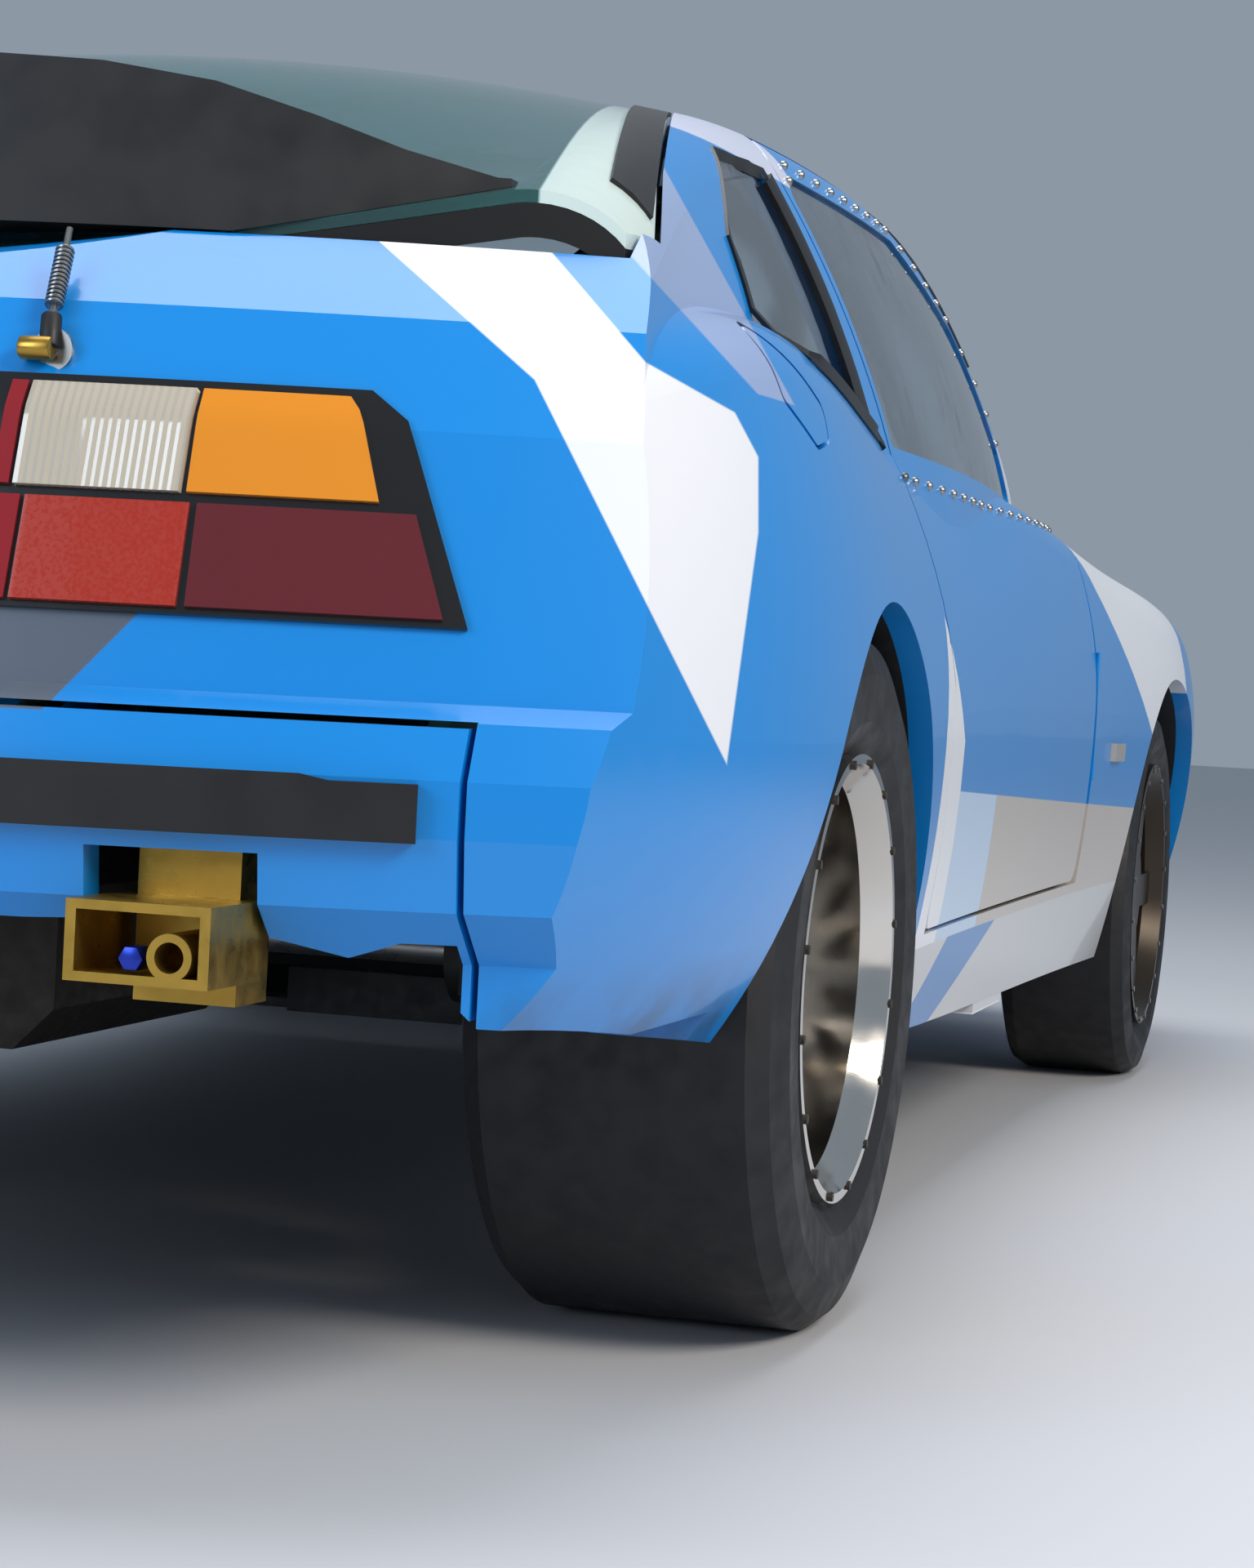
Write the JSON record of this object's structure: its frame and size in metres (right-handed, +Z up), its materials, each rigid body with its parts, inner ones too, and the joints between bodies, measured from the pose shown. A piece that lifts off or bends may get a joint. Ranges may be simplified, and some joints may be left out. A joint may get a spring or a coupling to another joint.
{
  "type": "fastback coupe drag car",
  "caption": "Two-door fastback coupe for drag racing, with wide rear slicks, lifting hatch, hinged doors and bonnet, raised headlamp pods and steered front wheels.",
  "frame": {"origin": "on the ground under the middle of the car's length and width", "axes": "+X forward, +Y to the car's left, +Z up"},
  "size_m": [4.1996, 1.7492, 1.2755],
  "materials": {
    "paint": "gloss light blue paint with stripes",
    "sill_paint": "gloss paint",
    "acrylic": "clear sheet in black edging",
    "tinted_glass": "green tinted glass",
    "black_rubber": "satin flexible lip",
    "black_plastic": "grained",
    "underseal": "sealed steel",
    "steel": "satin",
    "cast_alloy": "cast",
    "exhaust_steel": "heat dulled",
    "cage_paint": "gloss",
    "seat_fabric": "knitted cloth",
    "hand_wheel": "suede rim on a black plate",
    "slick_tyre": "smooth slick rubber",
    "road_tyre": "grooved rubber",
    "polished_rim": "polished",
    "bronze_rim": "bronze with polished lip",
    "yellow_zinc": "yellow passivated zinc"
  },
  "bodies": {
    "root": {"bulkhead": "underseal", "cowl": "black_plastic", "dashboard": "black_plastic", "driver_seat": "seat_fabric", "engine_block": "cast_alloy", "floor_pan": "underseal", "front_bumper": "paint", "front_suspension": "steel", "half_shafts": "steel", "nose_panel": "paint", "quarter_glass": "acrylic", "quarter_left": "paint", "quarter_right": "paint", "rear_bumper": "paint", "rear_panel": "paint", "rear_suspension": "steel", "roll_cage": "cage_paint", "roof": "paint", "silencer": "exhaust_steel", "sill_left": "sill_paint", "sill_right": "sill_paint", "steering_wheel": "hand_wheel", "tow_bracket": "yellow_zinc", "transaxle": "cast_alloy", "wheel_tubs": "underseal", "windscreen": "tinted_glass", "wing_left": "paint", "wing_right": "paint"},
    "door_left": {"door_left": "paint", "door_glass_left": "acrylic"},
    "door_right": {"door_right": "paint", "door_glass_right": "acrylic"},
    "bonnet": {"bonnet": "paint"},
    "hatch": {"hatch_frame": "underseal", "hatch_glass": "tinted_glass", "rear_spoiler": "black_rubber"},
    "fuel_flap": {"fuel_flap": "paint"},
    "pod_left": {"pod_left": "paint"},
    "pod_right": {"pod_right": "paint"},
    "knuckle_left": {"knuckle_left": "steel"},
    "knuckle_right": {"knuckle_right": "steel"},
    "wheel_front_left": {"rim_front_left": "bronze_rim", "tyre_front_left": "road_tyre"},
    "wheel_front_right": {"rim_front_right": "bronze_rim", "tyre_front_right": "road_tyre"},
    "wheel_rear_left": {"rim_rear_left": "polished_rim", "tyre_rear_left": "slick_tyre"},
    "wheel_rear_right": {"rim_rear_right": "polished_rim", "tyre_rear_right": "slick_tyre"}
  },
  "joints": [
    {"name": "steer_right", "type": "hinge", "parent": "root", "child": "knuckle_right", "pos_m": [1.24, -0.672, 0.185], "axis": [0, 0.1995, 0.9799], "range_deg": [-30, 30]},
    {"name": "steer_left", "type": "hinge", "parent": "root", "child": "knuckle_left", "pos_m": [1.24, 0.672, 0.185], "axis": [0, -0.1995, 0.9799], "range_deg": [-30, 30]},
    {"name": "spin_front_right", "type": "hinge", "parent": "knuckle_right", "child": "wheel_front_right", "pos_m": [1.24, -0.738, 0.293], "axis": [0, 1, 0], "continuous": true},
    {"name": "spin_front_left", "type": "hinge", "parent": "knuckle_left", "child": "wheel_front_left", "pos_m": [1.24, 0.738, 0.293], "axis": [0, 1, 0], "continuous": true},
    {"name": "spin_rear_right", "type": "hinge", "parent": "root", "child": "wheel_rear_right", "pos_m": [-1.16, -0.695, 0.33], "axis": [0, 1, 0], "continuous": true},
    {"name": "spin_rear_left", "type": "hinge", "parent": "root", "child": "wheel_rear_left", "pos_m": [-1.16, 0.695, 0.33], "axis": [0, 1, 0], "continuous": true},
    {"name": "open_door_right", "type": "hinge", "parent": "root", "child": "door_right", "pos_m": [0.503, -0.831, 0.6], "axis": [0, 0, 1], "range_deg": [0, 65]},
    {"name": "open_door_left", "type": "hinge", "parent": "root", "child": "door_left", "pos_m": [0.503, 0.831, 0.6], "axis": [0, 0, -1], "range_deg": [0, 65]},
    {"name": "lift_bonnet", "type": "hinge", "parent": "root", "child": "bonnet", "pos_m": [0.922, 0, 0.866], "axis": [0, -1, 0], "range_deg": [0, 50]},
    {"name": "lift_hatch", "type": "hinge", "parent": "root", "child": "hatch", "pos_m": [-0.557, 0, 1.263], "axis": [0, 1, 0], "range_deg": [0, 55]},
    {"name": "open_fuel_flap", "type": "hinge", "parent": "root", "child": "fuel_flap", "pos_m": [-1.556, -0.80898, 0.907], "axis": [-0.9244, 0.1709, 0.3411], "range_deg": [0, 90]},
    {"name": "raise_pod_right", "type": "hinge", "parent": "root", "child": "pod_right", "pos_m": [1.6975, -0.49, 0.728], "axis": [0, -1, 0], "range_deg": [0, 45]},
    {"name": "raise_pod_left", "type": "hinge", "parent": "root", "child": "pod_left", "pos_m": [1.6975, 0.49, 0.728], "axis": [0, -1, 0], "range_deg": [0, 45]}
  ],
  "couplings": [
    {"joint": "steer_left", "follows": "steer_right", "ratio": 1},
    {"joint": "raise_pod_left", "follows": "raise_pod_right", "ratio": 1}
  ]
}
